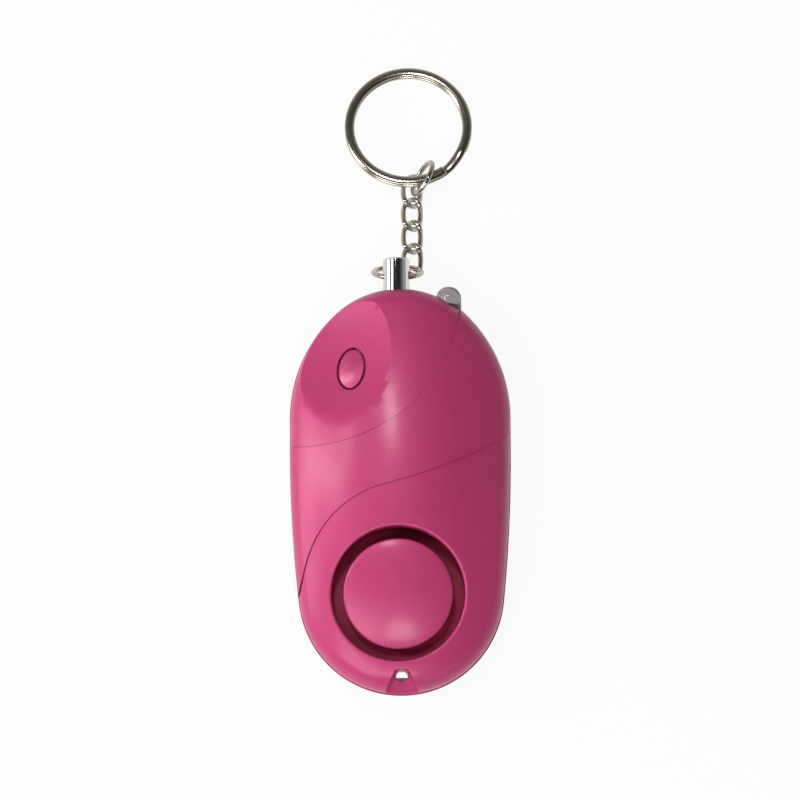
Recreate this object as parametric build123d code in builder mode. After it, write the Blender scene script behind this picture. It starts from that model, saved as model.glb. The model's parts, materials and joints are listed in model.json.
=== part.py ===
"""A personal safety alarm: a pebble-shaped siren that sounds when its metal pin is pulled out.

The alarm lies on its back. Z is up out of the front, Y runs along the body to the key ring and
X is to the right as the front is seen. The origin is the middle of the flat back. Millimetres.
"""

import math
import os

from build123d import *

os.makedirs("parts", exist_ok=True)

# Pebble body
body_length = 80.0
body_width = 43.4
body_thickness = 20.0
parting_height = 8.0
nose_radius = 18.9
nose_half_angle = 44.5
side_radius = 286.0
side_straight = 5.5228
crown_radius_across = 36.0
crown_radius_along = 140.0
crown_steps = 14
crown_tolerance = 0.001
front_edge_radius = 5.0
back_edge_radius = 7.0
wall = 1.8
overrun = 1.0

# Seam between the shells
lip_height = 1.0
lip_thickness = 0.8
lip_clearance = 0.1
seam_groove = 0.35
seam_depth = 0.55

# Raised swirl band over the front
band_height = 0.25
upper_line_radius = 30.3
upper_line_x = -18.2
upper_line_y = 38.4
lower_line_radius = 20.9
lower_line_x = 1.7
lower_line_y = -20.0
lower_line_start = 165.0
lower_line_turn = 61.4
lower_line_far_radius = 88.6
lower_line_far_angle = 22.0

# Dish round the button
dish_x = -10.8
dish_y = 26.1
dish_height = 13.97
dish_lean_x = 19.5
dish_lean_y = 11.7
dish_rim_radius = 9.35
dish_radius = 60.0

# Torch button and its switch
button_x = -9.45
button_y = 23.4
button_width = 4.7
button_length = 7.7
button_turn = -7.0
button_gap = 0.5
button_dome_radius = 11.0
button_proud = 0.55
button_flange = 0.9
button_flange_thickness = 0.8
button_wall = 1.2
button_seat_gap = 0.1
button_travel = 0.5
button_stem_diameter = 3.2
switch_size = 4.5
switch_height = 2.0
switch_plunger_diameter = 2.3
switch_plunger_rise = 0.7
switch_plunger_bore_gap = 0.06
switch_plunger_depth = 0.8
switch_leg = 0.5

# Siren opening
siren_x = -0.6
siren_y = -20.65
siren_diameter = 25.8
siren_disc_diameter = 21.2
siren_disc_sink = 1.0
siren_disc_dome_radius = 45.0
siren_disc_wall = 1.5
siren_disc_edge = 0.5
siren_rim_edge = 0.45
siren_floor_height = 10.9
siren_floor_thickness = 1.4
siren_cup_wall = 1.5
siren_port_count = 8
siren_port_width = 3.2
siren_port_height = 1.6
siren_seat_depth = 0.9
piezo_plate_diameter = 25.6
piezo_plate_thickness = 0.3
piezo_ceramic_diameter = 18.0
piezo_ceramic_thickness = 0.3

# Lanyard eye in the tail
eye_from_tail = 3.7
eye_diameter = 2.3
eye_boss_diameter = 6.6
eye_boss_gap = 0.3
scoop_top_width = 2.6
scoop_mouth_width = 6.9
scoop_top_from_tail = 4.9
scoop_floor_top = 13.6
scoop_floor_mouth = 10.4
scoop_back_top = 4.4
scoop_back_mouth = 7.2
scoop_round_share = 0.45

# Metal pull pin and its switch socket
pin_x = -0.57
pin_height = 9.5
pin_tip_from_nose = 5.9
pin_diameter = 5.3
pin_length = 14.0
pin_edge = 0.35
pin_gap = 0.15
pin_sleeve_wall = 1.2
pin_sleeve_length = 9.0
pin_hole_from_tip = 3.5
pin_hole_diameter = 2.6
plug_diameter = 3.0
plug_length = 12.0
plug_tang_diameter = 2.0
plug_tang_length = 4.0
plug_tang_gap = 0.02
plug_edge = 0.8
plug_sleeve_gap = 0.25
pin_seat_gap = 0.1
plug_gap = 0.08
socket_length = 8.0
socket_wall = 1.2
socket_roof = 1.0
socket_from_plug_tip = 1.0
contact_thickness = 0.3
contact_width = 3.0
contact_drop = 1.2

# Clear lamp beside the pin
lamp_x = 9.73
lamp_diameter = 5.0
lamp_length = 9.6
lamp_flange_diameter = 5.5
lamp_flange_thickness = 1.0
lamp_tip_from_nose = 0.26
lamp_gap = 0.12
lamp_lead = 0.5
lamp_lead_pitch = 2.54
lamp_lead_reach = 3.4
lamp_cup_diameter = 2.0
lamp_cup_length = 1.0
lamp_cup_bowl = 0.5
lamp_frame_length = 4.6
lamp_nose_share = 0.92

# Circuit board
board_thickness = 1.0
board_top = 6.5
board_low_y = 11.5
board_high_y = 29.5
board_right_x = 11.6
board_wall_gap = 0.5
board_post_diameter = 3.4
board_peg_diameter = 1.4
board_peg_gap = 0.1
board_peg_rise = 0.6
board_post_left_x = -13.4
board_post_left_high_y = 26.6
board_post_low_y = 13.8
board_post_right_x = 9.6
board_post_inner_x = 6.4
board_post_inner_y = 25.8
board_boss_gap = 0.5
coil_x = 7.0
coil_y = 19.6
coil_flange_diameter = 6.0
coil_core_diameter = 3.0
coil_winding_diameter = 5.2
coil_height = 4.6
coil_flange_thickness = 0.8
capacitor_x = 3.4
capacitor_y = 14.2
capacitor_diameter = 4.0
capacitor_height = 5.4
capacitor_edge = 0.4
capacitor_base_height = 0.6
chip_x = -3.2
chip_y = 15.0
chip_diameter = 5.0
chip_height = 1.0
transistor_x = -9.6
transistor_y = 16.2
transistor_width = 4.4
transistor_depth = 3.4
transistor_height = 4.4
transistor_leg = 0.45
transistor_leg_pitch = 1.27
transistor_stand = 1.4

# Button cells and their tray
cell_count = 3
cell_diameter = 11.6
cell_height = 5.4
cell_edge = 0.4
cell_cap_diameter = 9.6
cell_cap_height = 0.5
cell_y = 2.9
cell_axis_height = 8.3
cell_gap = 0.15
tray_wall = 1.0
tray_height = 6.4
tray_floor = 0.5
spring_space = 2.8
spring_wire = 0.5
spring_turns = 3.5
spring_large_radius = 3.6
spring_small_radius = 1.9
terminal_thickness = 0.3
terminal_width = 6.0
terminal_height = 8.0
terminal_clearance = 0.05
press_rib_x = 4.0
press_rib_thickness = 1.2
press_rib_half_width = 4.0
press_rib_gap = 0.3

# Case screws
screw_nose_x = 13.4
screw_nose_y = 22.0
screw_side_x = 14.2
screw_side_y = -7.4
boss_diameter = 4.8
back_boss_diameter = 6.0
screw_head_diameter = 3.8
screw_head_height = 1.5
screw_shank_diameter = 1.9
screw_hole_gap = 0.05
screw_head_gap = 0.1
screw_seat_height = 4.0
screw_reach = 4.6
screw_hole_spare = 0.4
screw_cross_width = 0.7
screw_cross_length = 2.2
screw_cross_depth = 0.7

# Chain and rings
chain_wire = 1.05
pin_ring_radius = 4.75
pin_ring_wire = 1.1
pin_ring_lean = 22.0
pin_ring_drop = 4.12
pin_ring_shift = 0.27
hook_angle = 142.0
link_count = 4
link_pitch = 4.65
link_gap = 0.4
link_half_width = 2.35
link_bend_radius = 1.45
top_ring_radius = 3.55
top_ring_wire = 1.05
top_ring_from_chain_x = 2.201
top_ring_from_chain_y = -0.772
top_ring_from_chain_z = 2.258
top_ring_axis_shares = (-0.837, 0.415, 0.357)

# Split key ring
key_ring_diameter = 25.5
key_ring_band = 1.9
key_ring_turn_thickness = 0.9
key_ring_turn_gap = 0.1
key_ring_edge = 0.35
key_ring_tilt = 11.0
key_ring_x = 2.05
key_ring_y = 73.8
key_ring_floor_gap = 0.05
key_ring_jog_angle = 26.0
key_ring_jog_at = -52.0

half_length = body_length / 2
half_width = body_width / 2
eye_y = eye_from_tail - half_length
pin_tip_y = half_length + pin_tip_from_nose
pin_base_y = pin_tip_y - pin_length
plug_tip_y = pin_base_y - plug_length
lamp_tip_y = half_length + lamp_tip_from_nose
lamp_base_y = lamp_tip_y - lamp_length
board_bottom = board_top - board_thickness
siren_floor_bottom = siren_floor_height - siren_floor_thickness
siren_cup_radius = siren_diameter / 2 + siren_cup_wall
screw_places = [(screw_nose_x, screw_nose_y), (screw_side_x, screw_side_y), (-screw_side_x, screw_side_y)]
board_posts = [
    (board_post_left_x, board_post_low_y),
    (board_post_left_x, board_post_left_high_y),
    (board_post_right_x, board_post_low_y),
    (board_post_inner_x, board_post_inner_y),
]


def crown_height(x, y, inset=0.0):
    """The height of the crowned front over a place, drawn in by inset, away from its round edge."""
    across = math.sqrt((crown_radius_across - inset) ** 2 - x * x)
    along = crown_radius_along - crown_radius_across + across
    return body_thickness - crown_radius_along + math.sqrt(along * along - y * y)


def outline_sketch(inset, height):
    """The egg outline of the body at a height, drawn in by inset: four tangent arcs a side."""
    nose_y = half_length - nose_radius
    sine, cosine = math.sin(math.radians(nose_half_angle)), math.cos(math.radians(nose_half_angle))
    shoulder_radius = (half_width - nose_radius * sine) / (1 - sine)
    shoulder_x = half_width - shoulder_radius
    shoulder_y = nose_y - (shoulder_radius - nose_radius) * cosine
    widest_y = shoulder_y - side_straight
    widest_from_tail = widest_y + half_length
    side_x = half_width - side_radius
    tail_radius = (half_width * half_width - 2 * half_width * side_radius
                   + widest_from_tail * widest_from_tail) / (2 * (widest_from_tail - side_radius))
    tail_y = tail_radius - half_length
    side_angle = math.degrees(math.atan2(widest_y - tail_y, -side_x))
    with BuildSketch(Plane.XY.offset(height)) as outline:
        with BuildLine():
            CenterArc((0, nose_y), nose_radius - inset, 90 - nose_half_angle, nose_half_angle)
            CenterArc((shoulder_x, shoulder_y), shoulder_radius - inset, 0, 90 - nose_half_angle)
            Line((half_width - inset, shoulder_y), (half_width - inset, widest_y))
            CenterArc((side_x, widest_y), side_radius - inset, -side_angle, side_angle)
            CenterArc((0, tail_y), tail_radius - inset, -90, 90 - side_angle)
            mirror(about=Plane.YZ)
        make_face()
    return outline.sketch


def front_form(inset):
    """The solid front of the body: the outline under a crown, its edge rounded."""
    reach_x, reach_y = half_width + overrun, half_length + overrun
    grid = [[Vector(reach_x * (2 * i / crown_steps - 1), reach_y * (2 * j / crown_steps - 1),
                    crown_height(reach_x * (2 * i / crown_steps - 1), reach_y * (2 * j / crown_steps - 1),
                                 inset))
             for j in range(crown_steps + 1)] for i in range(crown_steps + 1)]
    crown = Face.make_surface_from_array_of_points(grid, tol=crown_tolerance, min_deg=3, max_deg=6)
    with BuildPart() as form:
        add(outline_sketch(inset, parting_height))
        extrude(amount=body_thickness)
        add(Solid.extrude(crown, Vector(0, 0, -body_thickness)), mode=Mode.INTERSECT)
        fillet(form.faces().sort_by(Axis.Z)[-1].edges(), front_edge_radius - inset)
    return form.part


def back_form(inset):
    """The solid back of the body: the outline over a flat back with a large round edge."""
    with BuildPart() as form:
        add(outline_sketch(inset, inset))
        extrude(amount=parting_height - inset)
        fillet(form.edges().group_by(Axis.Z)[0], back_edge_radius - inset)
    return form.part


def outline_ring(outer_inset, inner_inset, low, height):
    """A ring that follows the outline between two insets."""
    with BuildPart() as ring:
        add(outline_sketch(outer_inset, low))
        extrude(amount=height)
        add(outline_sketch(inner_inset, low))
        extrude(amount=height, mode=Mode.SUBTRACT)
    return ring.part


def lip_ring(clearance):
    """The seam's tongue, or with a clearance the rebate that takes it, broken at the tail eye."""
    with BuildPart() as ring:
        add(outline_ring(wall - lip_thickness - clearance, wall + clearance, parting_height,
                         lip_height + clearance))
        with BuildSketch(Plane.XY.offset(parting_height)):
            with Locations((0, -half_length)):
                Rectangle(eye_boss_diameter - 2 * clearance, 2 * wall + 2 * overrun)
        extrude(amount=lip_height + clearance, mode=Mode.SUBTRACT)
    return ring.part


def upright_cylinder(x, y, radius, low, high):
    """A cylinder that stands at a place between two heights."""
    with BuildPart() as cylinder:
        with BuildSketch(Plane.XY.offset(low)):
            with Locations((x, y)):
                Circle(radius)
        extrude(amount=high - low)
    return cylinder.part


def lying_cylinder(x, radius, low_y, high_y):
    """A cylinder along the body at the pin's height, as the pin and the lamp lie."""
    with BuildPart() as cylinder:
        with BuildSketch(Plane.XZ.offset(-low_y)):
            with Locations((x, pin_height)):
                Circle(radius)
        extrude(amount=low_y - high_y)
    return cylinder.part


# Balls lie on their side, so that neither pole nor seam meets a surface that they cut
lying = (90, 0, 0)

# Raised band: all that lies outside the upper circle and above the lower line
with BuildPart() as band_prism:
    with BuildSketch(Plane.XY.offset(parting_height)):
        Rectangle(2 * body_width, 2 * body_length)
        with Locations((upper_line_x, upper_line_y)):
            Circle(upper_line_radius, mode=Mode.SUBTRACT)
        with BuildLine():
            sweep_in = CenterArc((lower_line_x, lower_line_y), lower_line_radius, lower_line_start,
                                 -lower_line_turn)
            sweep_out = JernArc(sweep_in @ 1, sweep_in % 1, lower_line_far_radius, lower_line_far_angle)
            sweep_edge = sweep_in @ 0 - (sweep_in % 0) * (body_width / 2)
            Polyline(sweep_out @ 1, ((sweep_out @ 1).X, -body_length), (sweep_edge.X, -body_length),
                     sweep_edge, sweep_in @ 0)
        make_face(mode=Mode.SUBTRACT)
    extrude(amount=body_thickness)

# Dish: a shallow ball-shaped hollow that leans to the left shoulder
dish_axis = Vector(-math.tan(math.radians(dish_lean_x)), math.tan(math.radians(dish_lean_y)), 1)
dish_axis = dish_axis.normalized()
dish_center = Vector(dish_x, dish_y, dish_height)
dish_rise = math.sqrt(dish_radius ** 2 - dish_rim_radius ** 2)
dish_sag = dish_radius - dish_rise
dish_ball = dish_center + dish_axis * dish_rise

# Button: upright through the dish, its flange parallel to the dish
button_dx, button_dy = button_x - dish_ball.X, button_y - dish_ball.Y
button_mid = Vector(button_x, button_y,
                    dish_ball.Z - math.sqrt(dish_radius ** 2 - button_dx ** 2 - button_dy ** 2))
flange_ceiling = Plane(origin=button_mid - dish_axis * button_wall, z_dir=dish_axis)
flange_top = flange_ceiling.offset(-button_seat_gap)
flange_bottom = flange_top.offset(-button_flange_thickness)
switch_top = board_top + switch_height
plunger_top = switch_top + switch_plunger_rise


def button_oval(grow, low):
    """An upright oval post of the button's outline, grown all round."""
    with BuildPart() as post:
        with BuildSketch(Plane.XY.offset(low)):
            with Locations((button_x, button_y)):
                Ellipse(button_width / 2 + grow, button_length / 2 + grow, rotation=button_turn)
        extrude(amount=body_thickness - low)
    return post.part


with BuildPart() as flange_pocket:
    add(button_oval(button_flange + button_gap, board_top))
    split(bisect_by=flange_ceiling, keep=Keep.BOTTOM)

with BuildPart() as button_collar:
    add(button_oval(button_flange, board_top))
    split(bisect_by=flange_top, keep=Keep.BOTTOM)
    split(bisect_by=flange_bottom, keep=Keep.TOP)

with BuildPart() as torch_button:
    add(button_oval(0, board_top))
    with Locations(button_mid + dish_axis * (button_proud - button_dome_radius)):
        Sphere(button_dome_radius, rotation=lying, mode=Mode.INTERSECT)
    split(bisect_by=flange_bottom, keep=Keep.TOP)
    add(button_collar.part)
    add(upright_cylinder(button_x, button_y, button_stem_diameter / 2, plunger_top, button_mid.Z))

with BuildPart() as switch_plunger:
    add(upright_cylinder(button_x, button_y, switch_plunger_diameter / 2,
                         switch_top - switch_plunger_depth, plunger_top))

with BuildPart() as torch_switch:
    with BuildSketch(Plane.XY.offset(board_top)):
        with Locations((button_x, button_y)):
            Rectangle(switch_size, switch_size)
    extrude(amount=switch_height)
    add(upright_cylinder(button_x, button_y, switch_plunger_diameter / 2 + switch_plunger_bore_gap,
                         switch_top - switch_plunger_depth - button_travel - switch_plunger_bore_gap,
                         switch_top), mode=Mode.SUBTRACT)

# Siren: a cup in the front whose floor carries a domed disc over a sound chamber
siren_tilt = math.asin(siren_y / crown_radius_along)
siren_axis = Vector(0, math.sin(siren_tilt), math.cos(siren_tilt))
siren_apex = Vector(siren_x, siren_y, crown_height(siren_x, siren_y) - siren_disc_sink)
siren_ball = siren_apex - siren_axis * siren_disc_dome_radius
siren_chamber_radius = siren_disc_diameter / 2 - siren_disc_wall

with BuildPart() as siren_disc:
    add(upright_cylinder(siren_x, siren_y, siren_disc_diameter / 2, siren_floor_height, body_thickness))
    with Locations(siren_ball):
        Sphere(siren_disc_dome_radius, rotation=lying, mode=Mode.INTERSECT)
    fillet(siren_disc.faces().filter_by(GeomType.SPHERE)[0].outer_wire().edges(), siren_disc_edge)

with BuildPart() as siren_chamber:
    add(upright_cylinder(siren_x, siren_y, siren_chamber_radius, siren_floor_bottom - siren_seat_depth,
                         body_thickness))
    with Locations(siren_ball):
        Sphere(siren_disc_dome_radius - siren_disc_wall, rotation=lying, mode=Mode.INTERSECT)

with BuildPart() as siren_ports:
    with BuildSketch(Plane.XY.offset(siren_floor_height)):
        with Locations((siren_x, siren_y)):
            with PolarLocations(siren_chamber_radius + siren_disc_wall / 2, siren_port_count):
                Rectangle(2 * siren_disc_wall, siren_port_width)
    extrude(amount=siren_port_height)

# Room inside the front, with what the wall keeps: cup, dish, bosses, sleeves and ribs
with BuildPart() as front_room:
    add(front_form(wall))
    with Locations(dish_ball):
        Sphere(dish_radius + wall, rotation=lying, mode=Mode.SUBTRACT)
    add(upright_cylinder(siren_x, siren_y, siren_cup_radius, siren_floor_bottom - siren_seat_depth,
                         body_thickness), mode=Mode.SUBTRACT)
    for x, y in screw_places:
        add(upright_cylinder(x, y, boss_diameter / 2, parting_height, body_thickness), mode=Mode.SUBTRACT)
    add(upright_cylinder(0, eye_y, eye_boss_diameter / 2, parting_height, body_thickness),
        mode=Mode.SUBTRACT)
    add(lying_cylinder(pin_x, pin_diameter / 2 + pin_gap + pin_sleeve_wall,
                       half_length - pin_sleeve_length, half_length), mode=Mode.SUBTRACT)
    add(lying_cylinder(lamp_x, lamp_diameter / 2 + lamp_gap + pin_sleeve_wall,
                       lamp_base_y + lamp_flange_thickness, half_length), mode=Mode.SUBTRACT)
    with BuildSketch(Plane.XY.offset(cell_axis_height + cell_diameter / 2 + press_rib_gap)):
        for x in (-press_rib_x, press_rib_x):
            with Locations((x, cell_y)):
                Rectangle(press_rib_thickness, 2 * press_rib_half_width)
    extrude(amount=body_thickness, mode=Mode.SUBTRACT)

# Scoop of the lanyard eye: a bell in plan, with a front and a back floor that slope to the tail
with BuildPart() as eye_bell:
    with BuildSketch(Plane.XY) as bell:
        with BuildLine():
            Polyline((-scoop_top_width / 2, scoop_top_from_tail - half_length),
                     (scoop_top_width / 2, scoop_top_from_tail - half_length),
                     (scoop_mouth_width / 2, -half_length),
                     (scoop_mouth_width / 2, -half_length - overrun),
                     (-scoop_mouth_width / 2, -half_length - overrun),
                     (-scoop_mouth_width / 2, -half_length), close=True)
        make_face()
        fillet(bell.vertices().group_by(Axis.Y)[-1], scoop_top_width * scoop_round_share)
    extrude(amount=body_thickness)

with BuildPart() as eye_web:
    with BuildSketch(Plane.YZ.offset(-scoop_mouth_width)):
        with BuildLine():
            Polyline((scoop_top_from_tail - half_length, scoop_floor_top),
                     (-half_length, scoop_floor_mouth), (-half_length - overrun, scoop_floor_mouth),
                     (-half_length - overrun, scoop_back_mouth), (-half_length, scoop_back_mouth),
                     (scoop_top_from_tail - half_length, scoop_back_top), close=True)
        make_face()
    extrude(amount=2 * scoop_mouth_width)

with BuildPart() as eye_cut:
    add(eye_bell.part)
    add(eye_web.part, mode=Mode.SUBTRACT)
    add(upright_cylinder(0, eye_y, eye_diameter / 2, -overrun, body_thickness))

# Bore of the pull pin: wide for the barrel, with a collar that stops it
with BuildPart() as pin_bore:
    add(lying_cylinder(pin_x, pin_diameter / 2 + pin_gap, pin_base_y - pin_seat_gap,
                       half_length + overrun))
    add(lying_cylinder(pin_x, plug_diameter / 2 + plug_sleeve_gap, plug_tip_y, pin_base_y))

# Bore of the lamp: its flange seats behind the sleeve
with BuildPart() as lamp_bore:
    add(lying_cylinder(lamp_x, lamp_diameter / 2 + lamp_gap, lamp_base_y, half_length + overrun))
    add(lying_cylinder(lamp_x, lamp_flange_diameter / 2 + lamp_gap, lamp_base_y - lamp_gap,
                       lamp_base_y + lamp_flange_thickness + lamp_gap))

# Front shell
with BuildPart() as raised_band:
    add(front_form(0))
    add(band_prism.part, mode=Mode.INTERSECT)

with BuildPart() as front_shell:
    add(front_form(band_height))
    add(upright_cylinder(siren_x, siren_y, siren_diameter / 2, siren_floor_height, body_thickness),
        mode=Mode.SUBTRACT)
    opening = front_shell.faces().filter_by(GeomType.CYLINDER).sort_by_distance((siren_x, siren_y))[0]
    fillet(opening.edges().sort_by(Axis.Z)[-1], siren_rim_edge)
    add(siren_disc.part)
    add(raised_band.part)
    add(front_room.part, mode=Mode.SUBTRACT)
    with Locations(dish_ball):
        Sphere(dish_radius, rotation=lying, mode=Mode.SUBTRACT)
    add(siren_chamber.part, mode=Mode.SUBTRACT)
    add(siren_ports.part, mode=Mode.SUBTRACT)
    add(upright_cylinder(siren_x, siren_y, piezo_plate_diameter / 2 + lip_clearance,
                         siren_floor_bottom - siren_seat_depth - overrun, siren_floor_bottom),
        mode=Mode.SUBTRACT)
    add(button_oval(button_gap, parting_height), mode=Mode.SUBTRACT)
    add(flange_pocket.part, mode=Mode.SUBTRACT)
    add(lip_ring(lip_clearance), mode=Mode.SUBTRACT)
    add(outline_ring(-overrun, seam_depth, parting_height, seam_groove), mode=Mode.SUBTRACT)
    add(pin_bore.part, mode=Mode.SUBTRACT)
    add(lamp_bore.part, mode=Mode.SUBTRACT)
    for x, y in screw_places:
        add(upright_cylinder(x, y, screw_shank_diameter / 2 + screw_hole_gap, parting_height,
                             parting_height + screw_reach + screw_hole_spare), mode=Mode.SUBTRACT)
    add(eye_cut.part, mode=Mode.SUBTRACT)

# Rear shell
with BuildPart() as rear_room:
    add(back_form(wall))
    for x, y in screw_places:
        add(upright_cylinder(x, y, back_boss_diameter / 2, 0, parting_height), mode=Mode.SUBTRACT)
    for x, y in board_posts:
        add(upright_cylinder(x, y, board_post_diameter / 2, 0, board_bottom), mode=Mode.SUBTRACT)
        add(upright_cylinder(x, y, board_peg_diameter / 2, 0, board_top + board_peg_rise),
            mode=Mode.SUBTRACT)
    add(upright_cylinder(0, eye_y, eye_boss_diameter / 2, 0, parting_height), mode=Mode.SUBTRACT)
    add(lying_cylinder(pin_x, pin_diameter / 2 + pin_gap + pin_sleeve_wall,
                       half_length - pin_sleeve_length, half_length), mode=Mode.SUBTRACT)
    add(lying_cylinder(lamp_x, lamp_diameter / 2 + lamp_gap + pin_sleeve_wall,
                       lamp_base_y + lamp_flange_thickness, half_length), mode=Mode.SUBTRACT)

with BuildPart() as rear_shell:
    add(back_form(0))
    add(rear_room.part, mode=Mode.SUBTRACT)
    add(lip_ring(0))
    add(upright_cylinder(siren_x, siren_y, siren_cup_radius + eye_boss_gap,
                         siren_floor_bottom - siren_seat_depth - eye_boss_gap, body_thickness),
        mode=Mode.SUBTRACT)
    add(pin_bore.part, mode=Mode.SUBTRACT)
    add(lamp_bore.part, mode=Mode.SUBTRACT)
    for x, y in screw_places:
        add(upright_cylinder(x, y, screw_head_diameter / 2 + screw_head_gap, 0, screw_seat_height),
            mode=Mode.SUBTRACT)
        add(upright_cylinder(x, y, screw_shank_diameter / 2 + screw_hole_gap, 0, parting_height),
            mode=Mode.SUBTRACT)
    add(eye_cut.part, mode=Mode.SUBTRACT)

# Case screws
with BuildPart() as case_screws:
    for x, y in screw_places:
        add(upright_cylinder(x, y, screw_head_diameter / 2, screw_seat_height - screw_head_height,
                             screw_seat_height))
        add(upright_cylinder(x, y, screw_shank_diameter / 2, screw_seat_height,
                             parting_height + screw_reach))
    with BuildSketch(Plane.XY.offset(screw_seat_height - screw_head_height)):
        with Locations(*screw_places):
            Rectangle(screw_cross_length, screw_cross_width)
            Rectangle(screw_cross_width, screw_cross_length)
    extrude(amount=screw_cross_depth, mode=Mode.SUBTRACT)

# Piezo siren
with BuildPart() as piezo_plate:
    add(upright_cylinder(siren_x, siren_y, piezo_plate_diameter / 2,
                         siren_floor_bottom - piezo_plate_thickness, siren_floor_bottom))

with BuildPart() as piezo_ceramic:
    add(upright_cylinder(siren_x, siren_y, piezo_ceramic_diameter / 2,
                         siren_floor_bottom - piezo_plate_thickness - piezo_ceramic_thickness,
                         siren_floor_bottom - piezo_plate_thickness))

# Circuit board
lead_y = lamp_base_y - lamp_lead_reach
lead_places = [(lamp_x - lamp_lead_pitch / 2, lead_y), (lamp_x + lamp_lead_pitch / 2, lead_y)]
contact_x = plug_diameter / 2 + plug_gap + contact_thickness / 2
contact_y = plug_tip_y + socket_from_plug_tip + socket_length / 2
contact_places = [(pin_x - contact_x, contact_y), (pin_x + contact_x, contact_y)]

with BuildPart() as circuit_board:
    with BuildSketch(Plane.XY.offset(board_bottom)):
        add(outline_sketch(wall + board_wall_gap, board_bottom))
        with Locations((board_right_x - body_width, (board_low_y + board_high_y) / 2)):
            Rectangle(2 * body_width, board_high_y - board_low_y, mode=Mode.INTERSECT)
        with Locations((screw_nose_x, screw_nose_y)):
            Circle(back_boss_diameter / 2 + board_boss_gap, mode=Mode.SUBTRACT)
        with Locations(*board_posts):
            Circle(board_peg_diameter / 2 + board_peg_gap, mode=Mode.SUBTRACT)
        with Locations(*lead_places):
            Circle(lamp_lead / 2 + 2 * board_peg_gap, mode=Mode.SUBTRACT)
        with Locations(*contact_places):
            Rectangle(contact_thickness + 2 * board_peg_gap, contact_width + 2 * board_peg_gap,
                      mode=Mode.SUBTRACT)
    extrude(amount=board_thickness)

# Parts on the board
with BuildPart() as coil_core:
    add(upright_cylinder(coil_x, coil_y, coil_flange_diameter / 2, board_top,
                         board_top + coil_flange_thickness))
    add(upright_cylinder(coil_x, coil_y, coil_core_diameter / 2, board_top, board_top + coil_height))
    add(upright_cylinder(coil_x, coil_y, coil_flange_diameter / 2,
                         board_top + coil_height - coil_flange_thickness, board_top + coil_height))

with BuildPart() as coil_winding:
    with BuildSketch(Plane.XY.offset(board_top + coil_flange_thickness)):
        with Locations((coil_x, coil_y)):
            Circle(coil_winding_diameter / 2)
            Circle(coil_core_diameter / 2, mode=Mode.SUBTRACT)
    extrude(amount=coil_height - 2 * coil_flange_thickness)

with BuildPart() as capacitor:
    add(upright_cylinder(capacitor_x, capacitor_y, capacitor_diameter / 2, board_top,
                         board_top + capacitor_height))
    fillet(capacitor.edges().sort_by(Axis.Z)[-1], capacitor_edge)
    with BuildSketch(Plane.XY.offset(board_top + capacitor_base_height)):
        with Locations((capacitor_x, capacitor_y)):
            Circle(capacitor_diameter / 2)
            Circle(capacitor_diameter / 2 - capacitor_edge / 2, mode=Mode.SUBTRACT)
    extrude(amount=capacitor_base_height, mode=Mode.SUBTRACT)

with BuildPart() as sound_chip:
    chip_ball = (chip_diameter * chip_diameter / 4 + chip_height * chip_height) / (2 * chip_height)
    with Locations((chip_x, chip_y, board_top + chip_height - chip_ball)):
        Sphere(chip_ball)
    split(bisect_by=Plane.XY.offset(board_top), keep=Keep.TOP)

with BuildPart() as transistor:
    with BuildSketch(Plane.XY.offset(board_top + transistor_stand)):
        with Locations((transistor_x, transistor_y)):
            Circle(transistor_width / 2)
        with Locations((transistor_x, transistor_y - transistor_width / 2)):
            Rectangle(transistor_width, 2 * (transistor_width - transistor_depth), mode=Mode.SUBTRACT)
    extrude(amount=transistor_height)
    with BuildSketch(Plane.XY.offset(board_top)):
        with Locations((transistor_x, transistor_y)):
            with GridLocations(transistor_leg_pitch, 0, 3, 1):
                Rectangle(transistor_leg, transistor_leg)
    extrude(amount=transistor_stand)

# Pull pin: a bored barrel outside and a thin plug that holds the siren's switch open inside
with BuildPart() as pin_barrel:
    add(lying_cylinder(pin_x, pin_diameter / 2, pin_base_y, pin_tip_y))
    fillet(pin_barrel.edges().filter_by(GeomType.CIRCLE), pin_edge)
    add(lying_cylinder(pin_x, plug_tang_diameter / 2 + plug_tang_gap, pin_base_y,
                       pin_base_y + plug_tang_length + plug_tang_gap), mode=Mode.SUBTRACT)
    with BuildSketch(Plane.YZ.offset(pin_x - pin_diameter)):
        with Locations((pin_tip_y - pin_hole_from_tip, pin_height)):
            Circle(pin_hole_diameter / 2)
    extrude(amount=2 * pin_diameter, mode=Mode.SUBTRACT)

with BuildPart() as pin_plug:
    add(lying_cylinder(pin_x, plug_diameter / 2, plug_tip_y, pin_base_y))
    fillet(pin_plug.edges().group_by(Axis.Y)[0], plug_edge)
    add(lying_cylinder(pin_x, plug_tang_diameter / 2, pin_base_y, pin_base_y + plug_tang_length))

# Switch socket round the plug, with a spring leaf on either side
contact_top = pin_height + plug_diameter / 2
with BuildPart() as pin_socket:
    with BuildSketch(Plane.XY.offset(board_top)):
        with Locations((pin_x, contact_y)):
            Rectangle(2 * (contact_x + contact_thickness / 2 + socket_wall), socket_length)
    extrude(amount=contact_top + socket_roof - board_top)
    add(lying_cylinder(pin_x, plug_diameter / 2 + plug_gap, plug_tip_y, pin_base_y),
        mode=Mode.SUBTRACT)
    with BuildSketch(Plane.XY.offset(board_top)):
        with Locations(*contact_places):
            Rectangle(contact_thickness + 2 * terminal_clearance, contact_width + 2 * terminal_clearance)
    extrude(amount=contact_top + terminal_clearance - board_top, mode=Mode.SUBTRACT)

with BuildPart() as contact_left:
    with BuildSketch(Plane.XY.offset(board_bottom - contact_drop)):
        with Locations(contact_places[0]):
            Rectangle(contact_thickness, contact_width)
    extrude(amount=contact_top - board_bottom + contact_drop)

with BuildPart() as contact_right:
    with BuildSketch(Plane.XY.offset(board_bottom - contact_drop)):
        with Locations(contact_places[1]):
            Rectangle(contact_thickness, contact_width)
    extrude(amount=contact_top - board_bottom + contact_drop)

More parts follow.
